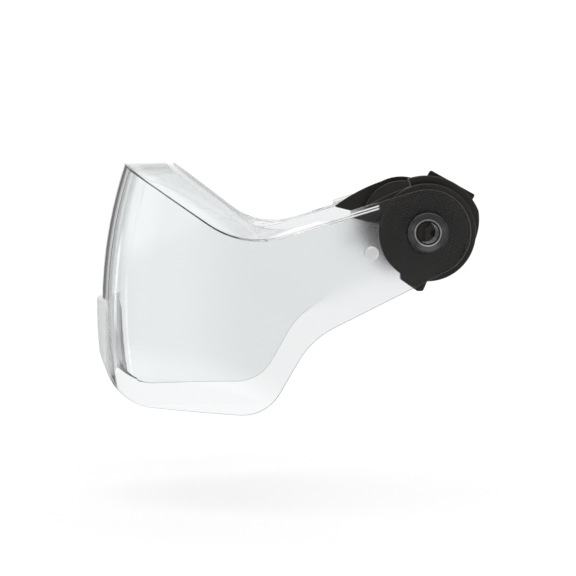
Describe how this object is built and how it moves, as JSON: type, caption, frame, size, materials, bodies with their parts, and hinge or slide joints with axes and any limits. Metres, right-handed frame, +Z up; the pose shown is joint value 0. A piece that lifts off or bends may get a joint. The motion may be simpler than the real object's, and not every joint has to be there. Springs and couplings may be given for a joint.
{
  "type": "helmet face shield",
  "caption": "Clear wrap-around face shield with a rearward brow flange, two arms and black turning side adapters that plug into a helmet's accessory slots.",
  "frame": {"origin": "on the pivot axis, midway between the two arms", "axes": "the shield faces -X, the wearer's left is -Y, +Z is up in the worn position"},
  "size_m": [0.2298, 0.1974, 0.1465],
  "materials": {
    "clear_polycarbonate": "clear, polished, optical",
    "black_nylon": "fine moulded grain",
    "dark_acetal": "smooth, slightly waxy",
    "natural_acetal": "uncoloured, waxy",
    "black_steel": "black oxide",
    "nickel_steel": "turned, dull nickel plate",
    "zinc_steel": "bright zinc plate"
  },
  "bodies": {
    "visor": {"visor_shell": "clear_polycarbonate", "left_pivot_plate": "black_nylon", "left_pivot_bush": "dark_acetal", "left_stop_screw": "zinc_steel", "left_stop_sleeve": "natural_acetal", "right_pivot_plate": "black_nylon", "right_pivot_bush": "dark_acetal", "right_stop_screw": "zinc_steel", "right_stop_sleeve": "natural_acetal"},
    "left_carrier": {"left_slot_carrier": "black_nylon", "left_slot_blade": "black_nylon", "left_blade_screws": "black_steel", "left_pivot_rivet": "nickel_steel", "left_friction_washer": "dark_acetal", "left_spring_washer": "nickel_steel", "left_retaining_ring": "nickel_steel"},
    "right_carrier": {"right_slot_carrier": "black_nylon", "right_slot_blade": "black_nylon", "right_blade_screws": "black_steel", "right_pivot_rivet": "nickel_steel", "right_friction_washer": "dark_acetal", "right_spring_washer": "nickel_steel", "right_retaining_ring": "nickel_steel"}
  },
  "joints": [
    {"name": "left_pivot", "type": "hinge", "parent": "visor", "child": "left_carrier", "pos_m": [0, -0.0865, 0], "axis": [0, -1, 0], "range_deg": [-161.5, 84]},
    {"name": "right_pivot", "type": "hinge", "parent": "visor", "child": "right_carrier", "pos_m": [0, 0.0865, 0], "axis": [0, -1, 0], "range_deg": [-101.5, 144]}
  ]
}
